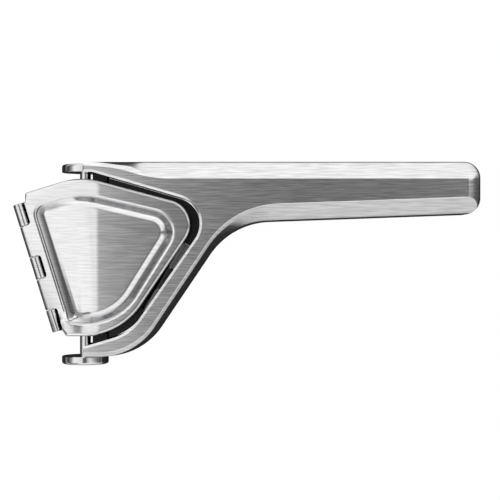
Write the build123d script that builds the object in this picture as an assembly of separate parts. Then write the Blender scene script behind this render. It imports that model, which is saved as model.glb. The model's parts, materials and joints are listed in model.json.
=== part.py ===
from build123d import *
import os
from math import atan, atan2, cos, degrees, hypot, sin, sqrt, tan

# A citrus squeezer that folds flat, in millimetres. Two long arms turn on one pivot, and each carries a jaw: a bent,
# embossed cover plate with an inner plate screwed into it. The jaws are hinged to each other along their slanted left
# edge, and each is linked to its own arm in the slot along its right edge.
# It is modelled about the arms' pivot axis, which runs along Y, with the plane between the two halves at Z = 0.
# The front half (Z > 0) is modelled, and the rear half mirrors it. At the end all of it moves to stand on its rear arm.

# ---- overall
half_thickness = 14.0  # from the middle plane to the face of an arm
arm_gap = 0.2  # half the gap between the two arms when they are shut
run_clearance = 0.06  # radial, of a pin that turns in its bore
seat_clearance = 0.02  # radial, of a pin that is held in its bore
part_gap = 0.4  # round things that swing past each other

# ---- axes: all three meet at the apex, on the pivot axis below the head
apex_y = -87.2
fold_angle = 17.34  # of the hinge between the jaws, to the left of the pivot axis
link_x, link_y, link_z = 40.6, -15.0, 3.1  # a point on the front link pin's axis

# ---- arm
handle_top_y = 45.2
handle_end_x = 202.7
handle_end_bottom_y = 18.4
handle_end_radius = 8.0
crook_x, crook_y, crook_radius = 75.3, 13.8, 38.5  # where the handle's underside turns down into the yoke
yoke_bottom_y = -54.2
yoke_heel_x, yoke_heel_radius = 29.5, 34.8
foot_x = 0.6
top_foot_y = 39.6
bottom_foot_y = -49.0
window_top_x = 5.0  # where the top foot ends and the window begins
window_nose_x, window_nose_y, window_nose_radius = 68.1, 21.4, 13.9
window_heel_x, window_heel_y, window_heel_radius = 23.8, -42.2, 26.0
window_bevel = 0.9
bevel_depth = 7.6  # of all the slopes round an arm's face
strip_depth = 1.6  # of the narrow bright strip next to the face, where a steep wall lies below it
top_bevel = 8.9
under_bevel = 8.75
end_bevel, end_wall = 5.6, 3.6
yoke_bevel, yoke_wall = 4.1, 2.7
foot_bevel, foot_wall = 2.3, 0.2
neck_x, neck_bevel, neck_wall = 12.7, 3.2, 1.9  # the top bevel widens from the foot, past here
throat_x, throat_bevel, throat_wall = 22.0, 5.0, 2.7  # and here
bevel_full_x = 37.0  # to its full width here

# ---- hollow handle and its cover
cavity_start_x, cavity_end_x = 82.0, 193.0
cavity_wall = 6.4  # left between the cavity and the handle's outline
cavity_top = 10.0  # from the middle plane
cover_thickness = 1.6
cover_ledge = 1.6
cover_clearance = 0.1
cover_screw_x = (88.0, 138.0, 187.0)

# ---- screws, the same kind in handles and jaws
screw_radius = 1.1
screw_head_radius = 2.1
screw_head_height = 1.0
boss_radius = 2.0

# ---- pivot pins
pin_radius = 2.8
disc_radius = 12.0
disc_thickness = 4.1
disc_edge_radius = 1.3
top_disc_y = 39.8  # underside of the top disc
bottom_disc_y = -54.45  # upper side of the bottom disc
pocket_clearance = 0.4
ear_radius = 4.7
ear_height = 2.6
ear_inset = 1.0  # from the jaw's rim to the outer ear
washer_radius = 4.3
washer_thickness = 0.4
axial_gap = 0.08
clip_radius = 4.0
clip_thickness = 0.8
groove_depth = 0.5
web_start_x, web_end_x = 5.3, 11.0
web_depth = 5.2
web_gap = 0.4  # how far the webs stay inside the feet's inner faces

# ---- jaw cover plate
sheet = 1.2
flat_height = 7.5  # of the flat part's outer face
bend_half = 5.8  # from the bend's corner to where its round ends
rim_left_x = -30.8
rim_corner_rise = 4.45  # from the hinge's upper end to the jaw's upper left corner
rim_crown = (-1.6, 37.95)
rim_nose = (62.5, 20.8)
rim_heel = (22.2, -38.85)
rim_foot_right = (4.7, -44.1)
rim_foot_left_x = -9.5
rim_radii = {"crown": 39.0, "nose": 13.0, "heel": 36.0, "foot": 12.0, "left": 1.2, "toe": 1.5}
emboss = 4.5
base_crown = (-3.1, 29.25)
base_nose = (52.1, 16.7)
base_heel = (19.1, -35.8)
base_foot = (0.2, -37.9)
base_toe = (-8.05, -36.9)
base_left = (-26.95, 21.8)
base_radii = {"crown": 44.0, "nose": 11.5, "heel": 30.0, "foot": 12.0, "toe": 3.4, "left": 5.5}
emboss_inset = 4.3  # from the emboss's foot to its flat top, along the sheet

# ---- hinge between the jaws
fold_mid_y = -9.1
fold_length = 68.6
dark_knuckle = 11.6  # length of each of the rear jaw's three knuckles
knuckle_radius = 2.9
knuckle_gap = 0.35
fold_pin_radius = 1.2
open_clearance = 0.65  # radial, in the rear knuckles: this is the linkage's open pivot
notch_depth = 3.6  # of the opening for the other jaw's knuckle, from the axis
notch_corner = 1.8

# ---- inner plates
plate_gap = 0.3  # from the middle plane
plate_thickness = 1.5
slot_gap = 0.45  # from the arm's window to the inner plate's rim, which shows in the slot
plate_inset = 1.0
plate_wall = 1.4
fold_keepout = 4.4  # from the hinge's axis to the inner plate
rim_start_x = 12.2
ear_room_top_y = 27.4
ear_room_bottom_y = -35.4
ear_room_left_x = -6.6
plate_screws = ((-14.0, 30.0), (50.6, 12.4), (28.4, -25.6))
drain_width = 2.2
drain_pitch = 5.2
drain_margin = 3.4
rib_groove = 0.6

# ---- link hinge in the slot: tab, knuckle, tab
link_radius = 2.3
link_pin_radius = 1.1
link_start, link_knuckle_start, link_knuckle_end, link_end = 64.4, 76.9, 89.9, 104.0  # from the apex
link_gap = 0.4  # from a tab to the knuckle
tab_reach = 4.6

fold_tan = tan(fold_angle * 3.141592653589793 / 180)
disc_top_y = top_disc_y + disc_thickness
link_vector = Vector(link_x, link_y - apex_y, link_z).normalized()
link_side = Vector(link_vector.Y, -link_vector.X, 0).normalized()
fold_vector = Vector(-fold_tan, 1, 0).normalized()
fold_side = Vector(fold_vector.Y, -fold_vector.X, 0)
apex = Vector(0, apex_y, 0)
fold_distance = (fold_mid_y - apex_y) * hypot(1, fold_tan)
top_ear_y = rim_crown[1] - 1.55 - ear_inset
bottom_ear_y = rim_foot_right[1] + ear_inset


def fold_x(y):
    return -(y - apex_y) * fold_tan


def outline(corners):
    """A closed face from corners, each (x, y, radius)."""
    points = [(x, y) for x, y, _ in corners]
    return make_face(FilletPolyline(*points, radius=[r for _, _, r in corners], close=True))


def slab(face, low, high):
    return Pos(0, 0, low) * extrude(face, high - low)


def block(x, y, z):
    """A box from pairs of limits."""
    size = [b - a for a, b in (x, y, z)]
    middle = [(a + b) / 2 for a, b in (x, y, z)]
    return Pos(*middle) * Box(*size)


def rod(start, end, radius):
    """A cylinder between two points."""
    axis = end - start
    return Plane(origin=start, z_dir=axis) * Cylinder(
        radius, axis.length, align=(Align.CENTER, Align.CENTER, Align.MIN)
    )


def along_fold(distance):
    return apex + fold_vector * distance


def along_link(distance):
    return apex + link_vector * distance


def ring(y_low, y_high, radius, bore):
    low, high = Vector(0, y_low, 0), Vector(0, y_high, 0)
    return rod(low, high, radius) - rod(low, high, bore)


# ---- the bent surface of a jaw


def bend_section(y, drop, floor_z, reach=80.0):
    """The area under the jaw's bent face, in the plane across the pivot axis at y."""
    left = fold_x(y)
    rise = flat_height - knuckle_radius
    slope = atan2(rise, -left)
    radius = bend_half / tan(slope / 2)
    start = (-bend_half * cos(slope), flat_height - bend_half * sin(slope))
    middle = (bend_half - radius * sin(slope / 2), flat_height - radius + radius * cos(slope / 2))
    end = (bend_half, flat_height)
    lead = 8.0
    tip = (left - lead, knuckle_radius - lead * tan(slope))
    plane = Plane(origin=(0, y, 0), x_dir=(1, 0, 0), z_dir=(0, -1, 0))
    lowered = [(x, z - drop) for x, z in (tip, start, middle, end)]
    edges = [
        Line(lowered[0], lowered[1]),
        ThreePointArc(lowered[1], lowered[2], lowered[3]),
        Line(lowered[3], (reach, flat_height - drop)),
        Line((reach, flat_height - drop), (reach, floor_z)),
        Line((reach, floor_z), (tip[0], floor_z)),
        Line((tip[0], floor_z), lowered[0]),
    ]
    return plane * make_face(edges)


def under_bend(drop, floor_z=-9.0):
    """Everything below the jaw's bent face, lowered by drop."""
    ends = [bend_section(y, drop, floor_z) for y in (-52.0, 46.0)]
    return loft(ends, ruled=True)


def rim_face(grow=0.0):
    """The outline of a jaw's cover plate, with the hinge's axis as its left side."""
    low, high = (along_fold(fold_distance + half) for half in (-fold_length / 2, fold_length / 2))
    low_inner = low + fold_side * knuckle_radius
    high_inner = high + fold_side * ((rim_left_x - high.X) / fold_side.X)
    r = rim_radii
    face = outline(
        [
            (rim_left_x, high_inner.Y + rim_corner_rise, r["left"]),
            (*rim_crown, r["crown"]),
            (*rim_nose, r["nose"]),
            (*rim_heel, r["heel"]),
            (*rim_foot_right, r["foot"]),
            (rim_foot_left_x, rim_foot_right[1], r["toe"]),
            (low_inner.X, low_inner.Y, 0),
            (low.X, low.Y, 0),
            (high.X, high.Y, 0),
            (high_inner.X, high_inner.Y, 0),
        ]
    )
    return offset(face, grow, kind=Kind.ARC) if grow else face


def emboss_face(inset):
    r = base_radii
    face = outline(
        [
            (*base_left, r["left"]),
            (*base_crown, r["crown"]),
            (*base_nose, r["nose"]),
            (*base_heel, r["heel"]),
            (*base_foot, r["foot"]),
            (*base_toe, r["toe"]),
        ]
    )
    return offset(face, -inset, kind=Kind.ARC) if inset else face


def frustum(inset, height):
    """The emboss: its sloping wall from the flat face up, and a straight foot below that."""
    low, high = emboss_face(inset), emboss_face(inset + emboss_inset)
    top = loft([Pos(0, 0, height - emboss) * low, Pos(0, 0, height) * high], ruled=True)
    return top + slab(low, -1.0, height - emboss)


def embossed(inset, drop):
    """The emboss bent with the sheet: the part left of the bend is tipped about the bend's corner."""
    height = flat_height + emboss - drop
    whole = frustum(inset, height)
    tip_angle = degrees(atan2(flat_height - knuckle_radius, -fold_x(fold_mid_y)))
    corner = Pos(0, 0, flat_height)
    tipped = corner * Rot(0, -tip_angle, 0) * corner.inverse() * whole
    left = tipped & block((-60, 0), (-60, 60), (-12, 30))
    right = whole & block((0, 90), (-60, 60), (-12, 30))
    return (left + right) & under_bend(drop - emboss, -9.0)


def knuckle_spans():
    """Start and end of each knuckle along the hinge, from the apex, as (rear jaw's, front jaw's)."""
    start = fold_distance - fold_length / 2
    light = (fold_length - 3 * dark_knuckle) / 2
    dark = [(start + i * (dark_knuckle + light), start + i * (dark_knuckle + light) + dark_knuckle) for i in range(3)]
    between = [(dark[i][1] + knuckle_gap, dark[i + 1][0] - knuckle_gap) for i in range(2)]
    return dark, between


def fold_box(span, low, high, z):
    """A box beside the hinge's axis, over a span of it."""
    start, end = span
    middle = along_fold((start + end) / 2) + fold_side * ((low + high) / 2)
    plane = Plane(origin=middle + Vector(0, 0, (z[0] + z[1]) / 2), x_dir=fold_side, z_dir=(0, 0, 1))
    return plane * Box(high - low, end - start, z[1] - z[0])


def notch(span):
    """The opening that the other jaw's knuckle stands in, with rounded inner corners."""
    start, end = span[0] - knuckle_gap, span[1] + knuckle_gap
    face = Rectangle(2 * notch_depth, end - start)
    face = fillet(face.vertices(), notch_corner)
    plane = Plane(origin=along_fold((start + end) / 2), x_dir=fold_side, z_dir=(0, 0, 1))
    return plane * slab(face, -1.0, 9.0)


def jaw_shell(own, other, bore):
    """A jaw's cover plate, its emboss, screw bosses and its own hinge knuckles."""
    rim = rim_face()
    body = slab(rim, -3.0, 12.0) & (under_bend(0.0) - under_bend(sheet, -12.0))
    body += embossed(0, 0.0) & slab(rim, 0.0, 16.0) & (under_bend(-emboss) - under_bend(sheet, -12.0))
    body -= embossed(sheet, sheet)
    for x, y in plate_screws:
        post = Pos(x, y, 0) * Cylinder(boss_radius, 20)
        body += post & under_bend(sheet / 2) & block((-90, 90), (-90, 90), (plate_gap + plate_thickness + 0.02, 20))
    for span in other:
        body -= notch(span)
    for start, end in own:
        low, high = along_fold(start), along_fold(end)
        web = fold_box((start, end), 0.0, fold_keepout - part_gap, (knuckle_radius - sheet, knuckle_radius + 3.0))
        body += rod(low, high, knuckle_radius) + (web & under_bend(0.0))
    hinge_low, hinge_high = along_fold(0), along_fold(2 * fold_distance)
    body -= rod(hinge_low, hinge_high, bore)
    for x, y in plate_screws:
        depth = plate_gap + plate_thickness + 2.2
        body -= Pos(x, y, depth / 2) * Cylinder(screw_radius + seat_clearance, depth)
    return body


def plate_screw_set(length, places, head_z):
    """Countersunk screws whose heads are flush at head_z and point up."""
    screws = []
    for x, y in places:
        head = Pos(x, y, head_z + screw_head_height / 2) * Cone(screw_head_radius, screw_radius, screw_head_height)
        shank = Pos(x, y, head_z + (screw_head_height + length) / 2) * Cylinder(
            screw_radius, length - screw_head_height
        )
        slot = Pos(x, y, head_z) * Box(2 * screw_radius, 0.5, 0.8)
        screws.append(head + shank - slot)
    return screws


def screw_holes(places, head_z):
    holes = []
    for x, y in places:
        holes.append(
            Pos(x, y, head_z + screw_head_height / 2)
            * Cone(screw_head_radius + seat_clearance, screw_radius + seat_clearance, screw_head_height)
        )
        holes.append(Pos(x, y, head_z + 2) * Cylinder(screw_radius + seat_clearance, 4))
    return holes


def link_tab_spans():
    """Start and end of the arm's two tabs along the link's axis."""
    return (link_start, link_knuckle_start - link_gap / 2), (link_knuckle_end + link_gap / 2, link_end)


def link_knuckle_span(grow=0.0):
    return link_knuckle_start + link_gap / 2 - grow, link_knuckle_end - link_gap / 2 + grow


def link_box(span, low, high, z):
    """A box beside the link pin's axis, over a span of it, level with the middle plane."""
    start, end = span
    middle = along_link((start + end) / 2) + link_side * ((low + high) / 2)
    flat_axis = Vector(link_vector.X, link_vector.Y, 0).normalized()
    plane = Plane(
        origin=Vector(middle.X, middle.Y, (z[0] + z[1]) / 2), x_dir=link_side, z_dir=link_side.cross(flat_axis)
    )
    return plane * Box(high - low, end - start, z[1] - z[0])


def inner_plate():
    """The plate inside a jaw, with a wall up to the cover plate and the knuckle of the link hinge."""
    rim = rim_face()
    left_limit = Polygon(
        (fold_x(60) + fold_keepout, 60),
        (fold_x(-60) + fold_keepout, -60),
        (90, -60),
        (90, 60),
        align=None,
    )
    inner = offset(rim, -plate_inset, kind=Kind.ARC) & left_limit
    wall_inner = offset(rim, -plate_inset - plate_wall, kind=Kind.ARC) & left_limit
    wide = window_face(slot_gap) & (Pos((rim_start_x + 90) / 2, 0) * Rectangle(90 - rim_start_x, 140))
    body = slab(inner, plate_gap, plate_gap + plate_thickness)
    body += slab(wide, plate_gap, plate_gap + plate_thickness)
    wall = slab(inner - wall_inner, plate_gap, 9.0) & under_bend(sheet + 0.05)
    body += wall
    for y in ((ear_room_top_y, 60), (-60, ear_room_bottom_y)):
        body -= block((ear_room_left_x, rim_start_x), y, (-2, 12))
    for x, y in plate_screws:
        room = Cylinder(boss_radius + part_gap / 2, 12, align=(Align.CENTER, Align.CENTER, Align.MIN))
        body -= Pos(x, y, plate_gap + plate_thickness) * room
    for tab in link_tab_spans():
        span = (tab[0] - link_gap, tab[1] + link_gap)
        body -= rod(along_link(span[0]), along_link(span[1]), link_radius + part_gap)
        body -= link_box(span, -link_radius / 2, tab_reach + 2, (-1, 9))
    knuckle = link_knuckle_span()
    barrel = rod(along_link(knuckle[0]), along_link(knuckle[1]), link_radius)
    body += barrel + link_box(knuckle, -link_radius - 2.4, 0, (plate_gap, plate_gap + 2 * plate_thickness))
    body -= rod(along_link(link_start - 2), along_link(link_end + 2), link_pin_radius + run_clearance)
    for hole in screw_holes(plate_screws, plate_gap):
        body -= hole
    return body


def window_face(inset):
    """The opening inside the arm's yoke, closed on its open side along the pivot axis, less a margin."""
    face = outline(
        [
            (0, top_foot_y, 0),
            (window_top_x, top_foot_y, 0),
            (window_nose_x, window_nose_y, window_nose_radius),
            (window_heel_x, window_heel_y, window_heel_radius),
            (foot_x, bottom_foot_y, 0),
            (0, bottom_foot_y, 0),
        ]
    )
    return offset(face, -inset, kind=Kind.ARC)


def drain_field():
    """The area of the inner plate that strains: the emboss's foot, less a margin."""
    return emboss_face(drain_margin)


def drain_bars(depth):
    """Rows across the drain field, as cutters from the middle plane up to depth."""
    field = slab(drain_field(), -1.0, depth)
    bars = []
    low, high = -30.0, 24.0
    count = int((high - low) / drain_pitch)
    for i in range(count + 1):
        y = low + i * drain_pitch
        bar = Pos(12, y) * SlotOverall(78, drain_width)
        bars.append(slab(bar, -1.0, depth) & field)
    return bars


def press_plate():
    """The front jaw's inner plate: its pressing face has shallow grooves between broad ribs."""
    body = inner_plate()
    for bar in drain_bars(plate_gap + rib_groove):
        body -= bar
    return body


def strainer_plate():
    """The rear jaw's inner plate: the same grooves go right through, and a bridge keeps each row in two."""
    body = inner_plate()
    bridge = block((8.0, 12.5), (-60, 60), (-2, 8))
    for bar in drain_bars(plate_gap + plate_thickness + 1.0):
        body -= bar - bridge
    return body


# ---- arm


def offset_corner(before, corner, after, inset_in, inset_out):
    """Where a corner of a clockwise outline goes when the sides into it and out of it move inwards."""
    into = (Vector(*corner) - Vector(*before)).normalized()
    out = (Vector(*after) - Vector(*corner)).normalized()
    normal_in, normal_out = Vector(into.Y, -into.X), Vector(out.Y, -out.X)
    turn = into.X * out.Y - into.Y * out.X
    if abs(turn) < 1e-6:
        return tuple(Vector(*corner) + normal_out * inset_out)[:2]
    start = Vector(*corner) + normal_in * inset_in
    other = Vector(*corner) + normal_out * inset_out
    gap = other - start
    along = (gap.X * out.Y - gap.Y * out.X) / turn
    return tuple(start + into * along)[:2]


def arm_corners():
    """The arm's outline, clockwise. Each corner has its point and radius, and how far the side that follows has moved
    inwards at the strip's foot and at the face."""
    plain = (bevel_depth - strip_depth) / bevel_depth  # share of a plain bevel that lies below the strip's foot
    return [
        ((foot_x, handle_top_y), 0, foot_wall, foot_bevel),
        ((neck_x, handle_top_y), 0, neck_wall, neck_bevel),
        ((throat_x, handle_top_y), 0, throat_wall, throat_bevel),
        ((bevel_full_x, handle_top_y), 0, top_bevel * plain, top_bevel),
        ((handle_end_x, handle_top_y), handle_end_radius, end_wall, end_bevel),
        ((handle_end_x, handle_end_bottom_y), handle_end_radius, under_bevel * plain, under_bevel),
        ((crook_x, crook_y), crook_radius, yoke_wall, yoke_bevel),
        ((yoke_heel_x, yoke_bottom_y), yoke_heel_radius, foot_wall, foot_bevel),
        ((foot_x, yoke_bottom_y), 0, 0, 0),
        ((foot_x, bottom_foot_y), 0, 0, window_bevel),
        ((window_heel_x, window_heel_y), window_heel_radius, 0, window_bevel),
        ((window_nose_x, window_nose_y), window_nose_radius, 0, window_bevel),
        ((window_top_x, top_foot_y), 0, 0, 0),
        ((foot_x, top_foot_y), 0, 0, 0),
    ]


def moved_outline(level):
    """The arm's outline with every side moved inwards: level 2 is the strip's foot and level 3 the face."""
    corners = arm_corners()
    hollows = ((crook_x, crook_y), (window_nose_x, window_nose_y), (window_heel_x, window_heel_y))
    moved = []
    for i, corner in enumerate(corners):
        before, after = corners[i - 1], corners[(i + 1) % len(corners)]
        point, radius = corner[:2]
        x, y = offset_corner(before[0], point, after[0], before[level], corner[level])
        slope = max(before[level], corner[level])
        if radius:
            radius = radius + slope if point in hollows else max(radius - slope, 1.0)
        moved.append((x, y, radius))
    return outline(moved)


def handle_underside_y(x):
    slope = (handle_end_bottom_y - crook_y) / (handle_end_x - crook_x)
    return crook_y + (x - crook_x) * slope


def arm_blank():
    """The arm's solid form: straight sides below, then slopes up to the flat face."""
    low = outline([corner[0] + (corner[1],) for corner in arm_corners()])
    shoulder, strip = half_thickness - bevel_depth, half_thickness - strip_depth
    middle, high = moved_outline(2), moved_outline(3)
    wall = loft([Pos(0, 0, shoulder) * low, Pos(0, 0, strip) * middle], ruled=True)
    edge = loft([Pos(0, 0, strip) * middle, Pos(0, 0, half_thickness) * high], ruled=True)
    return slab(low, arm_gap, shoulder) + wall + edge


def cavity_face(wall):
    """The hollow's outline inside the handle, a wall's width in from the handle's own."""
    y_start, y_end = (handle_underside_y(x) + wall for x in (cavity_start_x, cavity_end_x))
    top = handle_top_y - wall
    return outline(
        [
            (cavity_start_x - 8, top, 3),
            (cavity_end_x + 5.4 - wall, top, 5),
            (cavity_end_x + 5.4 - wall, y_end, 5),
            (cavity_start_x, y_start, 4),
            (cavity_start_x - 8, y_start + 6, 3),
        ]
    )


def cover_screw_places():
    """On the cavity's centre line."""
    places = []
    for i, x in enumerate(cover_screw_x):
        middle = (handle_top_y + handle_underside_y(x)) / 2
        places.append((x, middle))
    return places


def arm():
    """An arm with its ears, tabs, pin pockets and hollow handle."""
    body = arm_blank()
    top, bottom = top_disc_y - pocket_clearance, bottom_disc_y
    pocket = rod(Vector(0, top, 0), Vector(0, handle_top_y + 5, 0), disc_radius + pocket_clearance)
    body -= pocket
    for low, high in ((top_foot_y - 3, top_foot_y + 3), (bottom - 1, bottom_foot_y + 3)):
        body -= rod(Vector(0, low, 0), Vector(0, high, 0), pin_radius + part_gap)
    knuckle = link_knuckle_span(link_gap)
    body -= rod(along_link(knuckle[0]), along_link(knuckle[1]), link_radius + part_gap)
    body -= link_box(knuckle, -4, link_radius / 2, (-1, link_z + link_radius + part_gap))
    for tab in link_tab_spans():
        body += rod(along_link(tab[0]), along_link(tab[1]), link_radius)
        body += link_box(tab, 0, tab_reach, (arm_gap, link_z + link_radius))
    body -= rod(along_link(link_start - 1), along_link(link_end + 1), link_pin_radius + seat_clearance)
    body -= slab(cavity_face(cavity_wall), -1.0, cavity_top)
    body -= slab(cavity_face(cavity_wall - cover_ledge), -1.0, arm_gap + cover_thickness)
    for x, y in cover_screw_places():
        low, high = arm_gap + cover_thickness, cavity_top + 0.5
        body += Pos(x, y, (low + high) / 2) * Cylinder(boss_radius, high - low)
        body -= Pos(x, y, 3.0) * Cylinder(screw_radius + seat_clearance, 6.0)
    return body


def ear(outer_y, direction, level):
    """A pivot ear and the web that carries it. Level 0 is next to the jaw's rim, level 1 is further in."""
    step = ear_height + washer_thickness + 2 * axial_gap
    near = outer_y - direction * level * step
    far = near - direction * ear_height
    low, high = min(near, far), max(near, far)
    body = ring(low, high, ear_radius, 0.5)
    body += block((0, web_end_x), (low, high), (arm_gap, web_depth))
    foot_y = top_foot_y - web_gap if direction > 0 else bottom_foot_y + web_gap
    body += block((web_start_x, web_end_x), (min(low, foot_y), max(high, foot_y)), (arm_gap, web_depth))
    return body


def arm_with_ears(level, bore):
    body = arm()
    for outer_y, direction in ((top_ear_y, 1), (bottom_ear_y, -1)):
        body += ear(outer_y, direction, level)
    for low, high in ((ear_room_top_y, top_ear_y + 1), (bottom_ear_y - 1, ear_room_bottom_y)):
        body -= rod(Vector(0, low, 0), Vector(0, high, 0), bore)
    return body


def handle_cover():
    face = cavity_face(cavity_wall - cover_ledge + cover_clearance)
    body = slab(face, arm_gap, arm_gap + cover_thickness)
    for hole in screw_holes(cover_screw_places(), arm_gap):
        body -= hole
    return body


# ---- turned parts on the pivot axis


def pivot_levels(outer_y, direction):
    """Places along the pivot: middle of the washer, and of the clip, seen from the jaw's rim inwards."""
    washer = outer_y - direction * (ear_height + axial_gap + washer_thickness / 2)
    second_ear_end = outer_y - direction * (2 * ear_height + washer_thickness + 2 * axial_gap)
    clip = second_ear_end - direction * (axial_gap + clip_thickness / 2)
    return washer, clip


def pivot_pin(disc_y, direction, outer_y):
    """A pin with a large round head outside and a groove for its clip at the inner end."""
    _, clip = pivot_levels(outer_y, direction)
    end = clip - direction * (clip_thickness / 2 + 1.0)
    head_far = disc_y + direction * disc_thickness
    head = rod(Vector(0, min(disc_y, head_far), 0), Vector(0, max(disc_y, head_far), 0), disc_radius)
    outer = head.edges().filter_by(GeomType.CIRCLE).sort_by(Axis.Y)[-1 if direction > 0 else 0]
    head = fillet(outer, disc_edge_radius)
    inner = head.edges().filter_by(GeomType.CIRCLE).sort_by(Axis.Y)[0 if direction > 0 else -1]
    head = chamfer(inner, 0.3)
    shank = rod(Vector(0, min(end, disc_y), 0), Vector(0, max(end, disc_y), 0), pin_radius)
    groove_half = clip_thickness / 2 + axial_gap
    groove = ring(clip - groove_half, clip + groove_half, pin_radius + 1, pin_radius - groove_depth)
    return head + shank - groove


def washer(y):
    half = washer_thickness / 2
    return ring(y - half, y + half, washer_radius, pin_radius + run_clearance)


def clip(y):
    """An open snap ring that sits in the pin's groove."""
    half = clip_thickness / 2
    body = ring(y - half, y + half, clip_radius, pin_radius - groove_depth + seat_clearance)
    mouth = 2 * (pin_radius - groove_depth) * 0.8
    return body - block((-clip_radius - 1, 0), (y - 1, y + 1), (-mouth / 2, mouth / 2))


def build():
    """Every sub-part by name, as a list of solids about the pivot axis."""
    dark, light = knuckle_spans()
    front_shell = jaw_shell(light, dark, fold_pin_radius + seat_clearance)
    rear_shell = jaw_shell(dark, light, fold_pin_radius + open_clearance)
    front_arm = arm_with_ears(0, pin_radius + run_clearance)
    rear_arm = arm_with_ears(1, pin_radius + seat_clearance)
    screw_length = 3.6
    jaw_screws = plate_screw_set(screw_length, plate_screws, plate_gap)
    cover_screws = plate_screw_set(screw_length + 1.2, cover_screw_places(), arm_gap)
    link_pin = rod(along_link(link_start + 0.5), along_link(link_end - 0.5), link_pin_radius)
    cover = handle_cover()
    hinge_start = fold_distance - fold_length / 2
    fold_pin = rod(along_fold(hinge_start + 0.4), along_fold(hinge_start + fold_length - 0.4), fold_pin_radius)
    upper_washer, upper_clip = pivot_levels(top_ear_y, 1)
    lower_washer, lower_clip = pivot_levels(bottom_ear_y, -1)

    def rear(shape):
        return mirror(shape, about=Plane.XY)

    return {
        "front_arm": [front_arm],
        "rear_arm": [rear(rear_arm)],
        "front_handle_cover": [cover],
        "rear_handle_cover": [rear(cover)],
        "front_cover_screws": cover_screws,
        "rear_cover_screws": [rear(s) for s in cover_screws],
        "front_shell": [front_shell],
        "rear_shell": [rear(rear_shell)],
        "press_plate": [press_plate()],
        "strainer_plate": [rear(strainer_plate())],
        "press_plate_screws": jaw_screws,
        "strainer_plate_screws": [rear(s) for s in jaw_screws],
        "fold_hinge_pin": [fold_pin],
        "front_link_pin": [link_pin],
        "rear_link_pin": [rear(link_pin)],
        "upper_pivot_pin": [pivot_pin(top_disc_y, 1, top_ear_y)],
        "lower_pivot_pin": [pivot_pin(bottom_disc_y, -1, bottom_ear_y)],
        "upper_pivot_washer": [washer(upper_washer)],
        "lower_pivot_washer": [washer(lower_washer)],
        "upper_pivot_clip": [clip(upper_clip)],
        "lower_pivot_clip": [clip(lower_clip)],
    }


def write_parts(parts):
    """Moves the whole part so that the middle of its footprint is at the origin, and writes a file per sub-part."""
    whole = Compound([solid for group in parts.values() for shape in group for solid in shape.solids()])
    box = whole.bounding_box()
    place = Pos(-(box.min.X + box.max.X) / 2, -(box.min.Y + box.max.Y) / 2, -box.min.Z)
    os.makedirs("parts", exist_ok=True)
    for name, group in parts.items():
        solids = [place * solid for shape in group for solid in shape.solids()]
        export_step(solids[0] if len(solids) == 1 else Compound(solids), f"parts/{name}.step")
    print("pivot axis at", round(place.position.X, 3), round(place.position.Y, 3), round(place.position.Z, 3))


write_parts(build())
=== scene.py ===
import bpy
import bmesh
import json
import math
from mathutils import Matrix, Vector


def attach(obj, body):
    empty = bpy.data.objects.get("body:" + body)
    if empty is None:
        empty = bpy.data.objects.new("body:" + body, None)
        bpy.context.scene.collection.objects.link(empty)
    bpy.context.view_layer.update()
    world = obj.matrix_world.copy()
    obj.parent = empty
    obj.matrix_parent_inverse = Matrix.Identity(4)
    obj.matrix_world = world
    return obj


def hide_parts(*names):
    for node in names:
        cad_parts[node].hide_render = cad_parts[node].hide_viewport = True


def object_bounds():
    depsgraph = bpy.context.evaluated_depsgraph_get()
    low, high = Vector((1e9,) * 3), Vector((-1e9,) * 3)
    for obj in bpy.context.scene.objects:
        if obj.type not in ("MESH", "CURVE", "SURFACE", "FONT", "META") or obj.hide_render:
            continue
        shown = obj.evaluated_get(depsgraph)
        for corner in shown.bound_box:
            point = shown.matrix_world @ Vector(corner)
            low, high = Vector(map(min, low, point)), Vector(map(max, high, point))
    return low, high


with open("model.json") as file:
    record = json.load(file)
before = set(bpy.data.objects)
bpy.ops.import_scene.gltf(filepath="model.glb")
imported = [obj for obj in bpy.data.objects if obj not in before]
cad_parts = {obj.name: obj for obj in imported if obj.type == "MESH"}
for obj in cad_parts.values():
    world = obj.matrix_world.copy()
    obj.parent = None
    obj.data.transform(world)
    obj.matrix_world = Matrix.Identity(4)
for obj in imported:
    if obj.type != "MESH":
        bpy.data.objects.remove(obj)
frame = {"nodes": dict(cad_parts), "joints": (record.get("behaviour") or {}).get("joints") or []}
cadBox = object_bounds()
joints = {joint["name"]: joint for joint in frame["joints"]}
pivot = Vector(joints["handle_opening"]["pos_m"])
print("frame loaded")

# Everything is drawn in millimetres about the arms' pivot axis, and is put in its place when it is finished.
mm = 0.001


# node trees

class Value:
    # a node's output; sums and products of it add their Math nodes
    def __init__(self, nodes, socket):
        self.nodes, self.socket = nodes, socket

    def math(self, kind, *values):
        return self.nodes.node("ShaderNodeMath", {"operation": kind}, dict(enumerate(values)))

    def root(self):
        return self.math("SQRT", self)

    def beside(self, name):
        # another output of the same node
        return Value(self.nodes, self.socket.node.outputs[name])

    def __add__(self, other):
        return self.math("ADD", self, other)

    def __sub__(self, other):
        return self.math("SUBTRACT", self, other)

    def __rsub__(self, other):
        return self.math("SUBTRACT", other, self)

    def __mul__(self, other):
        return self.math("MULTIPLY", self, other)

    def __truediv__(self, other):
        return self.math("DIVIDE", self, other)

    __radd__, __rmul__ = __add__, __mul__


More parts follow.
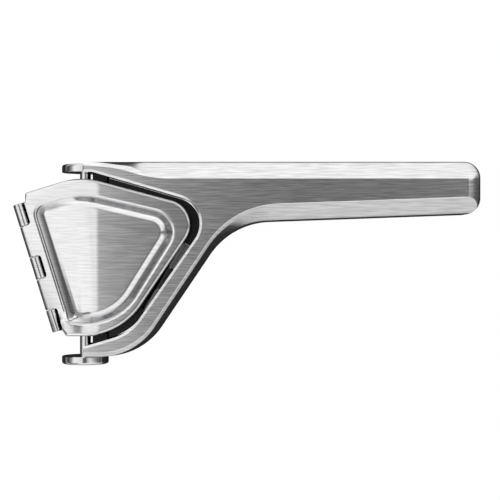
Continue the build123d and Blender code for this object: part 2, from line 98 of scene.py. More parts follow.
class Nodes:
    # fills one node tree
    def __init__(self, tree):
        self.tree = tree
        tree.nodes.clear()

    def node(self, kind, settings, values, output=0):
        # settings go first, then the values or links of the sockets; a list links several values to one socket
        made = self.tree.nodes.new(kind)
        for name, setting in settings.items():
            if name == "stops":
                elements = made.color_ramp.elements
                elements[0].position, elements[-1].position = setting[0][0], setting[-1][0]
                for place, _ in setting[1:-1]:
                    elements.new(place)
                for element, (_, level) in zip(elements, setting):
                    element.color = (level, level, level, 1)
            else:
                setattr(made, name, setting)
        for name, value in values.items():
            if isinstance(value, Value):
                self.tree.links.new(value.socket, made.inputs[name])
            elif isinstance(value, list):
                for one in value:
                    self.tree.links.new(one.socket, made.inputs[name])
            else:
                made.inputs[name].default_value = value
        return Value(self, made.outputs[output]) if made.outputs else made

    def ramp(self, factor, stops):
        # grey levels; a ramp holds up to 1, so a brighter one is scaled down and up again
        top = max(level for _, level in stops)
        scaled = [(place, level / top) for place, level in stops]
        made = self.node("ShaderNodeValToRGB", {"stops": scaled}, {"Fac": factor})
        made.socket.node.color_ramp.interpolation = "EASE"
        return made * top

    def between(self, start, end, value):
        return self.node("ShaderNodeMapRange", {"interpolation_type": "SMOOTHSTEP"},
                         {"Value": value, "From Min": start, "From Max": end})


# meshes

def slicedAcross(bm, place, normal):
    # gives the mesh an edge wherever the plane crosses it
    bmesh.ops.bisect_plane(bm, geom=bm.verts[:] + bm.edges[:] + bm.faces[:], plane_co=place, plane_no=normal)


def ringMesh(rings, loop=False):
    # skins a row of matched rings; its ends are capped, or joined to each other
    bm = bmesh.new()
    rows = [[bm.verts.new(point) for point in ring] for ring in rings]
    pairs = list(zip(rows, rows[1:])) + ([(rows[-1], rows[0])] if loop else [])
    for low, high in pairs:
        for i in range(len(low)):
            j = (i + 1) % len(low)
            bm.faces.new((low[i], low[j], high[j], high[i]))
    if not loop:
        bm.faces.new(rows[0])
        bm.faces.new(rows[-1])
    bmesh.ops.remove_doubles(bm, verts=bm.verts, dist=1e-4)
    bmesh.ops.recalc_face_normals(bm, faces=bm.faces)
    return bm


def lathe(profile, origin, axis, steps=72, loop=False):
    # profile is a list of (radius, distance along the axis)
    axis = Vector(axis).normalized()
    side = axis.orthogonal().normalized()
    other = axis.cross(side)
    rings = []
    for radius, along in profile:
        centre = Vector(origin) + axis * along
        turns = [2 * math.pi * i / steps for i in range(steps)]
        rings.append([centre + (side * math.cos(a) + other * math.sin(a)) * radius for a in turns])
    return ringMesh(rings, loop)


def roundedBox(low, high, edge, turn=None):
    # a box between two corners with its edges rounded
    bm = bmesh.new()
    bmesh.ops.create_cube(bm, size=1.0)
    low, high = Vector(low), Vector(high)
    for vert in bm.verts:
        vert.co = Vector([(a + b) / 2 + (b - a) * c for a, b, c in zip(low, high, vert.co)])
    bmesh.ops.bevel(bm, geom=bm.edges[:], offset=edge, segments=2, profile=0.5, affect="EDGES")
    if turn:
        bmesh.ops.transform(bm, matrix=turn, verts=bm.verts)
    return bm


def newObject(name, *parts):
    # one object from several closed meshes
    mesh = bpy.data.meshes.new(name)
    whole = bmesh.new()
    for part in parts:
        part.to_mesh(mesh)
        part.free()
        whole.from_mesh(mesh)
    whole.to_mesh(mesh)
    whole.free()
    obj = bpy.data.objects.new(name, mesh)
    bpy.context.scene.collection.objects.link(obj)
    return obj


def bake(obj):
    # turns what the object's modifiers make into plain mesh
    bpy.context.view_layer.update()
    graph = bpy.context.evaluated_depsgraph_get()
    mesh = bpy.data.meshes.new_from_object(obj.evaluated_get(graph))
    obj.modifiers.clear()
    obj.data = mesh
    return obj


def cut(obj, *cutters):
    # takes each cutter out of the object; the cutters go
    for cutter in cutters:
        modifier = obj.modifiers.new("cut", "BOOLEAN")
        modifier.operation = "DIFFERENCE"
        modifier.solver = "EXACT"
        modifier.object = cutter
        bake(obj)
        bpy.data.objects.remove(cutter)


def mirrored(obj):
    # the rear half's pieces are the front half's, mirrored in the middle plane
    bm = bmesh.new()
    bm.from_mesh(obj.data)
    for vert in bm.verts:
        vert.co.z = -vert.co.z
    bmesh.ops.recalc_face_normals(bm, faces=bm.faces)
    bm.to_mesh(obj.data)
    bm.free()
    return obj


def finishPiece(obj, materials, body, nodes, sharp=30):
    # shades it smooth but for its sharp edges, puts it in its place and gives it its body
    for material in materials:
        obj.data.materials.append(material)
    obj.data.transform(Matrix.Translation(pivot) @ Matrix.Scale(mm, 4))
    obj.data.shade_smooth()
    obj.data.set_sharp_from_angle(angle=math.radians(sharp))
    weighted = obj.modifiers.new("flat faces stay flat", "WEIGHTED_NORMAL")
    weighted.keep_sharp = True
    bake(obj)
    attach(obj, body)
    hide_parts(*nodes)


def eased(start, end, value):
    # 0 at the start, 1 at the end, with a soft step between them
    t = min(max((value - start) / (end - start), 0.0), 1.0)
    return t * t * (3 - 2 * t)


def along(points, x):
    # a smooth curve through (x, y) points that never overshoots
    if x <= points[0][0]:
        return points[0][1]
    for (x0, y0), (x1, y1) in zip(points, points[1:]):
        if x <= x1:
            i = points.index((x0, y0))
            rise = (y1 - y0) / (x1 - x0)
            before = rise if i == 0 else (y0 - points[i - 1][1]) / (x0 - points[i - 1][0])
            after = rise if i + 2 >= len(points) else (points[i + 2][1] - y1) / (points[i + 2][0] - x1)
            startSlope, endSlope = (before + rise) / 2, (after + rise) / 2
            if before * rise <= 0:
                startSlope = 0
            if after * rise <= 0:
                endSlope = 0
            t, width = (x - x0) / (x1 - x0), x1 - x0
            return (y0 * (1 + 2 * t) * (1 - t) ** 2 + y1 * t * t * (3 - 2 * t)
                    + width * (startSlope * t * (1 - t) ** 2 - endSlope * t * t * (1 - t)))
    return points[-1][1]


# what repeats, in Geometry Nodes

def newTree(name, sizes):
    # a tree with one named input for each size, and its inputs as values
    tree = bpy.data.node_groups.new(name, "GeometryNodeTree")
    kinds = {float: "NodeSocketFloat", int: "NodeSocketInt", tuple: "NodeSocketVector"}
    tree.interface.new_socket("Geometry", in_out="INPUT", socket_type="NodeSocketGeometry")
    for label, size in sizes.items():
        tree.interface.new_socket(label, in_out="INPUT", socket_type=kinds[type(size)])
    tree.interface.new_socket("Material", in_out="INPUT", socket_type="NodeSocketMaterial")
    tree.interface.new_socket("Geometry", in_out="OUTPUT", socket_type="NodeSocketGeometry")
    nodes = Nodes(tree)
    start = tree.nodes.new("NodeGroupInput")
    return nodes, {socket.name: Value(nodes, socket) for socket in start.outputs if socket.name}


def endTree(nodes, inputs, points, shape, turn):
    # puts the shape on the points, turned the same way on each, and gives it its metal
    placed = nodes.node("GeometryNodeInstanceOnPoints", {}, {"Points": points, "Instance": shape, "Rotation": turn})
    real = nodes.node("GeometryNodeRealizeInstances", {}, {"Geometry": placed})
    dressed = nodes.node("GeometryNodeSetMaterial", {}, {"Geometry": real, "Material": inputs["Material"]})
    nodes.node("NodeGroupOutput", {}, {"Geometry": dressed})
    return nodes.tree


def grown(name, tree, sizes, material, points=()):
    # runs a tree on a few points and keeps the result as plain mesh
    bm = bmesh.new()
    for point in points:
        bm.verts.new(point)
    obj = newObject(name, bm)
    modifier = obj.modifiers.new(name, "NODES")
    modifier.node_group = tree
    for item in tree.interface.items_tree:
        if item.in_out == "INPUT" and item.name in sizes:
            modifier[item.identifier] = sizes[item.name]
        if item.in_out == "INPUT" and item.name == "Material":
            modifier[item.identifier] = material
    return bake(obj)


ringSizes = {"Radius": 2.85, "Bore": 1.2, "Edge": 0.3, "Length": 11.6, "Start": 0.0, "Pitch": 20.0, "Count": 3,
             "Axis": (0.0, 1.0, 0.0), "Origin": (0.0, 0.0, 0.0)}


def makeRingTree():
    # turned rings with rounded edges, one after another along an axis: knuckles and washers
    nodes, sizes = newTree("turnedRings", ringSizes)
    radius, bore, length = sizes["Radius"], sizes["Bore"], sizes["Length"]
    section = nodes.node("GeometryNodeCurvePrimitiveQuadrilateral", {}, {"Width": radius - bore, "Height": length})
    section = nodes.node("GeometryNodeFilletCurve", {"mode": "POLY"}, {"Curve": section, "Count": 3,
                                                                       "Radius": sizes["Edge"], "Limit Radius": True})
    path = nodes.node("GeometryNodeCurvePrimitiveCircle", {}, {"Resolution": 64, "Radius": (radius + bore) * 0.5})
    ring = nodes.node("GeometryNodeCurveToMesh", {}, {"Curve": path, "Profile Curve": section})
    turn = nodes.node("FunctionNodeAlignRotationToVector", {"axis": "Z"}, {"Vector": sizes["Axis"]})
    first = nodes.node("ShaderNodeVectorMath", {"operation": "SCALE"}, {
        0: sizes["Axis"], "Scale": sizes["Start"] + length * 0.5})
    first = nodes.node("ShaderNodeVectorMath", {"operation": "ADD"}, {0: sizes["Origin"], 1: first})
    step = nodes.node("ShaderNodeVectorMath", {"operation": "SCALE"}, {0: sizes["Axis"], "Scale": sizes["Pitch"]})
    line = nodes.node("GeometryNodeMeshLine", {}, {"Count": sizes["Count"], "Start Location": first, "Offset": step})
    return endTree(nodes, sizes, line, ring, turn)


screwSizes = {"Head Radius": 2.1, "Head Height": 1.0, "Shank Radius": 1.1, "Length": 3.6, "Slot Width": 0.5,
              "Slot Depth": 0.4, "Direction": (0.0, 0.0, 1.0)}


def makeScrewTree():
    # slotted countersunk screws, one on each point, their heads flush with it
    nodes, sizes = newTree("countersunkScrews", screwSizes)
    headHeight, shankRadius, length = sizes["Head Height"], sizes["Shank Radius"], sizes["Length"]
    head = nodes.node("GeometryNodeMeshCone", {}, {
        "Vertices": 40, "Radius Bottom": sizes["Head Radius"], "Radius Top": shankRadius, "Depth": headHeight})
    shankLength = length - headHeight + 0.2
    shank = nodes.node("GeometryNodeMeshCylinder", {}, {
        "Vertices": 40, "Radius": shankRadius - 0.01, "Depth": shankLength})
    lift = nodes.node("ShaderNodeCombineXYZ", {}, {"Z": length - shankLength * 0.5})
    shank = nodes.node("GeometryNodeTransform", {}, {"Geometry": shank, "Translation": lift})
    whole = nodes.node("GeometryNodeMeshBoolean", {"operation": "UNION"}, {"Mesh 2": [head, shank]})
    slotSize = nodes.node("ShaderNodeCombineXYZ", {}, {
        "X": shankRadius * 2.0, "Y": sizes["Slot Width"], "Z": sizes["Slot Depth"] * 2.0})
    slot = nodes.node("GeometryNodeMeshCube", {}, {"Size": slotSize})
    slotted = nodes.node("GeometryNodeMeshBoolean", {"operation": "DIFFERENCE"}, {"Mesh 1": whole, "Mesh 2": slot})
    turn = nodes.node("FunctionNodeAlignRotationToVector", {"axis": "Z"}, {"Vector": sizes["Direction"]})
    return endTree(nodes, sizes, sizes["Geometry"], slotted, turn)


ringTree, screwTree = makeRingTree(), makeScrewTree()
print("node trees made")


# outlines with rounded corners

def crossing(p, u, q, v):
    # where the line through p along u meets the line through q along v
    turn = u.x * v.y - u.y * v.x
    gap = q - p
    return p + u * ((gap.x * v.y - gap.y * v.x) / turn)


def insetCorners(corners, insets):
    # a clockwise outline whose sides move inwards; side i follows corner i
    count = len(corners)
    points = [Vector(corner[:2]) for corner in corners]
    lines = []
    for i in range(count):
        direction = (points[(i + 1) % count] - points[i]).normalized()
        lines.append((points[i] + Vector((direction.y, -direction.x)) * insets[i], direction))
    moved = []
    for i in range(count):
        (p, u), (q, v) = lines[i - 1], lines[i]
        moved.append(crossing(p, u, q, v))
    return moved, lines


def roundedCorner(corner, u, v, radius, steps):
    # points of the arc that joins direction u to direction v round a corner
    turn = math.atan2(u.x * v.y - u.y * v.x, u.dot(v))
    reach = radius * math.tan(abs(turn) / 2)
    start = corner - u * reach
    normal = Vector((-u.y, u.x)) * (1 if turn > 0 else -1)
    centre = start + normal * radius
    arm = start - centre
    points = []
    for i in range(steps + 1):
        angle = turn * i / steps
        c, s = math.cos(angle), math.sin(angle)
        points.append(centre + Vector((arm.x * c - arm.y * s, arm.x * s + arm.y * c)))
    return points


# arms

armShape = {
    "face": 14.0, "middleGap": 0.2, "shoulder": 6.4, "shoulderRound": 1.2, "edgeHeight": 0.25,
    "mateEdge": 0.25, "mateEdgeHeight": 0.3, "edgeSoft": 0.12, "endSoft": 0.3,
    "footX": 0.6, "topY": 45.2, "topFootY": 39.6, "bottomY": -54.2, "bottomFootY": -49.0,
    "endX": 202.7, "endRadius": 8.0, "endLowRadius": 8.5, "endLean": 5.9, "endCurve": 2.3, "endRound": 0.9,
    "endRoundHeight": 1.0, "endBreak": 0.8,
    "undersideX": 91.8, "undersideY": 14.44, "undersideRise": 0.0356, "undersideFar": 150.0,
    "crook": (75.3, 13.8), "crookRadius": 38.5, "crookGrowth": 0.7, "heel": (29.5, -54.2), "heelRadius": 32.8,
    "windowHeel": (23.8, -42.2), "windowHeelRadius": 26.0, "windowNose": (68.1, 21.4), "windowNoseRadius": 13.9,
    "windowTopX": 5.0, "windowChamfer": 0.6, "windowChamferWidth": 1.25, "footChamfer": 0.25,
    "underBevel": 8.75, "yokeBevel": 4.1, "yokeWall": 2.7, "footBevel": 2.3, "footWall": 0.2,
    "wallStart": 4.0, "wallCurve": 1.8, "strip": 12.4, "topEdge": 46.0,
    "topBevel": [(0.6, 2.4), (12.7, 3.2), (22.0, 5.0), (28.0, 6.8), (38.5, 8.7), (46.0, 8.94), (60.0, 8.94)],
    "topWall": [(0.6, 0.2), (12.0, 1.2), (20.0, 2.3), (33.0, 2.7)],
    "topBlend": (20.0, 33.0),
    "levels": [0.2, 0.5, 2.5, 4.0, 5.2, 5.4, 5.6, 5.8, 6.0, 6.25, 6.5, 6.75, 7.0, 7.3, 7.6, 8.2, 9.0, 10.0, 11.0, 11.7,
               12.2, 12.4, 12.8, 13.1, 13.4, 13.6, 13.75, 13.82, 13.88, 13.94, 14.0],
}


def planeProfile(z, bevel):
    # a straight bevel with a rounded foot
    slope = bevel / (armShape["face"] - armShape["shoulder"])
    half = armShape["shoulderRound"]
    start = armShape["shoulder"] - half
    if z <= start:
        return 0.0
    if z < start + 2 * half:
        return slope * (z - start) ** 2 / (4 * half)
    return slope * (z - armShape["shoulder"])


def wallProfile(z, wall, bevel):
    # a hollow wall that gets steeper downwards, with a bright strip above it
    if z <= armShape["wallStart"]:
        return 0.0
    height = armShape["strip"] - armShape["wallStart"]
    if z < armShape["strip"]:
        return wall * ((z - armShape["wallStart"]) / height) ** armShape["wallCurve"]
    return wall + (bevel - wall) * (z - armShape["strip"]) / (armShape["face"] - armShape["strip"])


def edgeShare(z):
    # 0 below the face's edge, 1 at the face
    height = armShape["edgeHeight"]
    return max(z - (armShape["face"] - height), 0.0) / height


def armLoop(z):
    # the arm's whole outline at one height, clockwise from the upper foot
    shape = armShape
    mateTop = shape["middleGap"] + shape["mateEdgeHeight"]
    low = shape["mateEdge"] * max(mateTop - z, 0.0) / shape["mateEdgeHeight"]
    ease = shape["edgeSoft"] * edgeShare(z) ** 2

    def topInset(x):
        bevel, wall = along(shape["topBevel"], x), along(shape["topWall"], x)
        share = eased(*shape["topBlend"], x)
        return wallProfile(z, wall, bevel) * (1 - share) + planeProfile(z, bevel) * share + low + ease

    footInset = low + shape["footChamfer"] * edgeShare(z)
    chamfer = max(z - (shape["face"] - shape["windowChamfer"]), 0.0) / shape["windowChamfer"]
    windowInset = low + chamfer * shape["windowChamferWidth"]
    bevelShare = max(z - shape["shoulder"], 0.0) / (shape["face"] - shape["shoulder"])
    lean = shape["endLean"] * bevelShare ** shape["endCurve"] + low + shape["endSoft"] * edgeShare(z) ** 2
    lean += shape["endRound"] * max(z - (shape["face"] - shape["endRoundHeight"]), 0.0) ** 2

    # along the top and round the end's upper corner
    endInset = topInset(shape["endX"])
    topY = shape["topY"] - endInset
    cornerRadius = max(shape["endRadius"] - shape["endBreak"] * endInset, 0.6)
    arcX, arcY = shape["endX"] - lean - cornerRadius, topY - cornerRadius
    stops = [shape["footX"] + footInset + (i / 40) ** 1.2 * shape["topEdge"] for i in range(41)]
    points = [Vector((x, shape["topY"] - topInset(x))) for x in stops]
    for i in range(13):
        angle = math.pi / 2 * (1 - i / 12)
        points.append(Vector((arcX + cornerRadius * math.cos(angle), arcY + cornerRadius * math.sin(angle))))

    # the end's lower arc, as far as the underside
    radius = shape["endLowRadius"]
    rise = shape["undersideRise"]
    length = math.hypot(1, rise)
    inset = planeProfile(z, shape["underBevel"]) + low + ease
    underY = shape["undersideY"] + inset * length
    lowX = shape["endX"] - radius - lean
    base = shape["undersideY"] + rise * (shape["endX"] - radius - shape["undersideX"])
    lowY = base + radius * length
    distance = (lowY - (underY + rise * (lowX - shape["undersideX"]))) / length
    if distance > 0.25:
        tip = math.acos(min(distance / radius, 1.0))  # from the underside's normal round to where they meet
        end = -math.pi / 2 + math.atan(rise) + tip
    else:
        end = -0.03  # high up they no longer cross, so only a touch of the arc is left
    for i in range(13):
        angle = end * i / 12
        y = lowY + radius * math.sin(angle)
        x = lowX + radius * math.cos(angle)
        points.append(Vector((x, max(y, underY + rise * (x - shape["undersideX"])))))

    # the rest are straight sides with round corners
    farX = shape["undersideFar"]
    corners = [
        (farX, shape["undersideY"] + rise * (farX - shape["undersideX"]), 0),
        (*shape["crook"], shape["crookRadius"] + inset * shape["crookGrowth"]),
        (*shape["heel"], shape["heelRadius"]),
        (shape["footX"], shape["bottomY"], 0),
        (shape["footX"], shape["bottomFootY"], 0),
        (*shape["windowHeel"], shape["windowHeelRadius"] + windowInset),
        (*shape["windowNose"], shape["windowNoseRadius"] + windowInset),
        (shape["windowTopX"], shape["topFootY"], 0),
        (shape["footX"], shape["topFootY"], 0),
        (shape["footX"], shape["topY"], 0),
    ]
    yokeInset = wallProfile(z, shape["yokeWall"], shape["yokeBevel"]) + low + ease
    bottomInset = wallProfile(z, shape["footWall"], shape["footBevel"]) + low + ease
    insets = [inset, yokeInset, bottomInset, footInset] + [windowInset] * 4 + [footInset, 0]
    moved, lines = insetCorners(corners, insets)
    steps = {1: 36, 2: 30, 5: 24, 6: 20}
    for i in range(1, 9):
        if i in steps:
            points += roundedCorner(moved[i], lines[i - 1][1], lines[i][1], corners[i][2], steps[i])
        else:
            points.append(moved[i])
    return points


def armBody():
    rings = [[(p.x, p.y, z) for p in armLoop(z)] for z in armShape["levels"]]
    return ringMesh(rings)


pinShape = {
    "radius": 2.8, "clearance": 0.4, "discRadius": 12.0, "discThickness": 4.1, "edge": 1.3,
    "topDisc": 39.8, "bottomDisc": -54.45, "pocketClearance": 0.4, "pocketDepth": 9.0, "topPocketY": 39.4,
    "topHole": (36.6, 6.0), "bottomHole": (-55.45, 10.0),
    "topEar": 35.4, "bottomEar": -43.1, "earRadius": 4.7, "earHeight": 2.6, "earStep": 3.16, "earFit": 0.03,
    "webRoot": 3.4, "webStart": 4.3, "webEnd": 11.75, "webDepth": 5.2, "webGap": 0.4,
    "clipRoom": 1.04, "tail": 1.4, "clipGroove": (0.48, 0.5),
}
linkShape = {
    "apexY": -87.2, "point": (40.6, -15.0, 3.1), "radius": 2.3, "pinRadius": 1.1,
    "start": 64.2, "knuckleStart": 76.9, "knuckleEnd": 89.9, "end": 104.2, "sideGap": 0.2, "pinFit": 0.02,
    "tabStart": 1.2, "tabReach": 4.6, "tabFoot": 0.25,
}
apex = Vector((0, linkShape["apexY"], 0))
linkAxis = (Vector(linkShape["point"]) - apex).normalized()


def earParts(outerY, direction, level):
    # a pivot ear and the web that carries it
    shape = pinShape
    near = outerY - direction * level * shape["earStep"]
    far = near - direction * shape["earHeight"]
    low, high = min(near, far), max(near, far)
    outer, bore, edge = shape["earRadius"], shape["radius"] + shape["earFit"], 0.3
    profile = [(bore, 0), (outer - edge, 0), (outer, edge), (outer, high - low - edge), (outer - edge, high - low),
               (bore, high - low)]
    footY = armShape["topFootY"] if direction > 0 else armShape["bottomFootY"]
    footY -= direction * shape["webGap"]
    base, right, top = armShape["middleGap"], shape["webEnd"], shape["webDepth"]
    return [
        lathe(profile, (0, low, 0), (0, 1, 0), loop=True),
        roundedBox((shape["webRoot"], low, base), (right, high, top), 0.25),
        roundedBox((shape["webStart"], min(low, footY), base), (right, max(high, footY), top), 0.25),
    ]


def linkTabs():
    # the two tabs of the link hinge, on either side of the inner plate's knuckle
    shape = linkShape
    flat = Vector((linkAxis.x, linkAxis.y, 0)).normalized()
    side = Vector((flat.y, -flat.x, 0))
    frameOfTab = Matrix((side, flat, Vector((0, 0, 1)))).transposed().to_4x4()
    parts = []
    gap = shape["sideGap"]
    for start, end in ((shape["start"], shape["knuckleStart"] - gap), (shape["knuckleEnd"] + gap, shape["end"])):
        bore, radius, edge = shape["pinRadius"] + shape["pinFit"], shape["radius"], 0.3
        length = end - start
        profile = [(bore, 0), (radius - edge, 0), (radius, edge), (radius, length - edge), (radius - edge, length),
                   (bore, length)]
        parts.append(lathe(profile, apex + linkAxis * start, linkAxis, 40, loop=True))
        middle = apex + linkAxis * ((start + end) / 2)
        turn = Matrix.Translation(Vector((middle.x, middle.y, 0))) @ frameOfTab
        low = (shape["tabStart"], -length / 2, shape["tabFoot"])
        high = (shape["tabReach"], length / 2, shape["point"][2] + radius - 0.02)
        parts.append(roundedBox(low, high, edge, turn))
    return parts


coverShape = {"startX": 82.0, "endX": 193.0, "wall": 4.8, "thickness": 1.6, "screws": (88.0, 138.0, 187.0),
              "undersideRise": 4.6 / 127.4, "endReach": 5.4, "tip": (8, 6)}


def undersideAt(x):
    return armShape["crook"][1] + (x - armShape["crook"][0]) * coverShape["undersideRise"]


def coverRecess():
    # what the inner cover's seat takes out of the arm
    shape = coverShape
    wall = shape["wall"]
    startY, endY = undersideAt(shape["startX"]) + wall, undersideAt(shape["endX"]) + wall
    top, right = armShape["topY"] - wall, shape["endX"] + shape["endReach"] - wall
    tipX, tipY = shape["startX"] - shape["tip"][0], startY + shape["tip"][1]
    corners = [(tipX, top, 3), (right, top, 5), (right, endY, 5), (shape["startX"], startY, 4), (tipX, tipY, 3)]
    moved, lines = insetCorners(corners, [0] * 5)
    loop = []
    for i in range(5):
        loop += roundedCorner(moved[i], lines[i - 1][1], lines[i][1], corners[i][2], 8)
    levels = (-1.0, armShape["middleGap"] + shape["thickness"])
    return newObject("recess", ringMesh([[(p.x, p.y, z) for p in loop] for z in levels]))


def rodAlong(name, radius, start, length, steps):
    # a plain rod on the pivot axis, to cut with
    return newObject(name, lathe([(radius, 0), (radius, length)], (0, start, 0), (0, 1, 0), steps))


def makeArm(name, level):
    # level 0 is the arm whose ears lie outside, level 1 the one whose ears lie inside them
    body = newObject(name, armBody())
    shape = pinShape
    hole = shape["radius"] + shape["clearance"]
    pocketRadius = shape["discRadius"] + shape["pocketClearance"]
    cut(body, rodAlong("pocket", pocketRadius, shape["topPocketY"], shape["pocketDepth"], 160),
        rodAlong("topHole", hole, *shape["topHole"], 64), rodAlong("bottomHole", hole, *shape["bottomHole"], 64),
        coverRecess())
    ears, tabs = earParts(shape["topEar"], 1, level) + earParts(shape["bottomEar"], -1, level), linkTabs()
    # the ears and webs take material 1, a near-black painted shade for the deep slot; the link tabs take material 2, a
    # dark grey painted shade
    for material, parts in ((1, ears), (2, tabs)):
        for part in parts:
            for face in part.faces:
                face.material_index = material
    return newObject(name, meshOf(body), *ears, *tabs)


# jaws

shellShape = {
    "sheet": 1.2, "flat": 7.5, "emboss": 4.5, "embossInset": 4.3, "fillet": 0.5, "crown": 1.9,
    "groove": [(-1.15, 0.0), (-1.0, -0.03), (-0.35, -0.27), (-0.15, -0.28), (0.1, -0.2), (0.6, 0.0)],
    "leftShare": 1.15, "leftWall": 5.0, "leftFall": 0.55, "cove": 0.5,
    "toeLift": 2.55, "toeRight": 2.0, "toeLeft": -11.5, "toeTop": -31.5, "toeLow": -36.5,
    "bendEnd": 7.2, "bendStart": -5.8, "crease": 0.045, "creaseSoft": 1.3,
    "tan": math.tan(math.radians(17.34)), "hingeZ": 2.9, "tuck": 1.1, "rimHinge": 0.35,
    "rim": [(-30.8, 29.28, 1.2), (-1.6, 37.95, 39.0), (62.5, 20.8, 13.0), (22.2, -38.85, 36.0), (4.7, -44.1, 12.0),
            (-9.5, -44.1, 1.5)],
    "base": [(-26.45, 21.8, 5.5), (-3.1, 29.25, 44.0), (52.1, 16.7, 11.5), (19.1, -35.8, 30.0), (0.2, -37.9, 12.0),
             (-7.95, -36.9, 3.4)],
    "hingeMiddle": -9.1, "hingeLength": 68.6, "knuckle": 11.6, "knuckleRadius": 2.9, "knuckleGap": 0.35,
    "pinRadius": 1.2, "pinFit": 0.02, "openClearance": 0.65, "notchDepth": 3.6, "notchCorner": 1.8,
    "bossRadius": 2.0, "bossBore": 1.12, "bossFoot": 1.82, "bossSink": 0.6, "cornerSteps": (8, 24, 24, 24, 14, 8),
    "screws": ((-14.0, 30.0), (50.6, 12.4), (28.4, -25.6)),
}
foldAxis = Vector((-shellShape["tan"], 1, 0)).normalized()
foldSide = Vector((foldAxis.y, -foldAxis.x, 0))
foldDistance = (shellShape["hingeMiddle"] - apex.y) * math.hypot(1, shellShape["tan"])


def foldX(y):
    # where the fold hinge's axis runs
    return -(y - apex.y) * shellShape["tan"]


def bendHeight(x, y):
    # how far the bent sheet lies under its flat part, and how steeply it falls to the left
    shape = shellShape
    run, soft, crease = shape["bendEnd"] - shape["bendStart"], shape["creaseSoft"], shape["crease"]
    drop = shape["flat"] - shape["hingeZ"]
    slope = (drop - crease * run / 2) / (-foldX(y) + shape["bendStart"] + run / 2)
    t = shape["bendEnd"] - x
    if t <= -soft:
        return 0.0, 0.0
    if t < soft:
        height, steep = crease * (t + soft) ** 2 / (4 * soft), crease * (t + soft) / (2 * soft)
    else:
        height, steep = crease * t, crease
    gain = (slope - crease) / run
    if t < run:
        return -(height + gain * max(t, 0.0) ** 2 / 2), steep + gain * max(t, 0.0)
    return -(crease + slope) * run / 2 - slope * (t - run), slope


def toeLift(x, y):
    # the sheet's foot runs nearly level before it drops to the hinge
    shape = shellShape
    rise = eased(shape["toeRight"], shape["toeLeft"], x) * (1 - eased(shape["toeLeft"], foldX(y), x))
    return shape["toeLift"] * rise * eased(shape["toeTop"], shape["toeLow"], y)


def hingeEdge():
    # the rim's left side, from its lower end up: round the foot of the hinge and along its axis
    shape = shellShape
    half = shape["hingeLength"] / 2
    low, high = apex + foldAxis * (foldDistance - half), apex + foldAxis * (foldDistance + half)
    reach = shape["knuckleRadius"]
    lowIn = low + foldSide * reach
    highIn = high + foldSide * ((shape["rim"][0][0] - high.x) / foldSide.x)
    tuck = foldSide * -shape["tuck"]  # the sheet ends inside its knuckles
    return [lowIn, low + tuck, high + tuck, highIn]


def rimLoop(inset):
    # the cover plate's outline, drawn flat
    shape = shellShape
    corners = shape["rim"]
    moved, lines = insetCorners(corners, [inset] * 6)
    lowIn, low, high, highIn = hingeEdge()
    up = Vector((0, 1))
    away = (Vector((lowIn.x, lowIn.y)) - Vector(corners[5][:2])).normalized()
    loop = []
    for i, steps in enumerate(shape["cornerSteps"]):
        before = up if i == 0 else lines[i - 1][1]
        after = away if i == 5 else lines[i][1]
        corner = moved[i]
        if i == 0:
            corner = Vector((corners[0][0] + inset, corners[0][1] - inset * 1.1))
        radius = corners[i][2]
        loop += roundedCorner(corner, before, after, max(radius - inset, 0.4), steps)
    side = foldSide * inset * shape["rimHinge"]  # the rounding there stays inside the knuckles
    inward = foldAxis * inset
    stops = [lowIn + inward, low + side + inward]
    stops += [low.lerp(high, i / 14) + side for i in range(1, 14)]
    stops += [high + side - inward, highIn - inward]
    return loop + [Vector((p.x, p.y)) for p in stops]


def embossLoop(inset):
    # the raised part's outline, with its left side last
    shape = shellShape
    corners = shape["base"]
    insets = [inset] * 5 + [inset * shape["leftShare"]]
    moved, lines = insetCorners(corners, insets)
    loop = []
    for i, steps in enumerate(shape["cornerSteps"]):
        radius = max(corners[i][2] - inset, 0.9)
        loop += roundedCorner(moved[i], lines[i - 1][1], lines[i][1], radius, steps)
    start, end = loop[-1], loop[0]
    return loop + [start.lerp(end, (i + 1) / 18) for i in range(17)]


def embossHeight(inset):
    # a shallow groove, the wall and a broad crown; the left side's wall is a cove that gets steeper upwards
    shape = shellShape
    height, width = shape["emboss"], shape["embossInset"]

    def ramp(value, half):
        # the integral of a slope that comes in over -half to half
        if value <= -half:
            return 0.0
        if value >= half:
            return value
        return (value + half) ** 2 / (4 * half)

    def cove(value):
        share = min(max(value / width, 0.0), 1.0)
        return height * (shape["cove"] * share + (1 - shape["cove"]) * share ** 2)

    groove = along(shape["groove"], inset)
    straight = height / width * (ramp(inset, shape["fillet"]) - ramp(inset - width, shape["crown"]))
    hollow = sum(cove(inset + 0.14 * i) for i in range(-2, 3)) / 5
    return straight, hollow, groove


def fallShare(x, y):
    # the raised part gets lower towards the hinge
    shape = shellShape
    corner = Vector((*shape["base"][0][:2], 0))
    away = max(foldSide.dot(Vector((x, y, 0)) - corner) - shape["leftWall"], 0.0)
    toBend = max(shape["bendEnd"] - x, 0.0)
    return 1 - shape["leftFall"] * (toBend / (away + toBend + 0.01)) ** 2


def embossRing(inset, heightInset, drop):
    # one ring of the emboss, with the straight wall's height all round but for the left side
    straight, hollow, groove = embossHeight(heightInset)
    # how far each point belongs to the left side: it fades out round the corners at either end of it
    others = sum(steps + 1 for steps in shellShape["cornerSteps"][1:-1])
    left = [1 - i / 8 for i in range(9)] + [0] * others + [i / 8 for i in range(9)] + [1] * 17
    ring = []
    for p, share in zip(embossLoop(inset), left):
        height = (straight * (1 - share) + hollow * share) * fallShare(p.x, p.y)
        ring.append((p.x, p.y, height + groove - drop))
    return ring


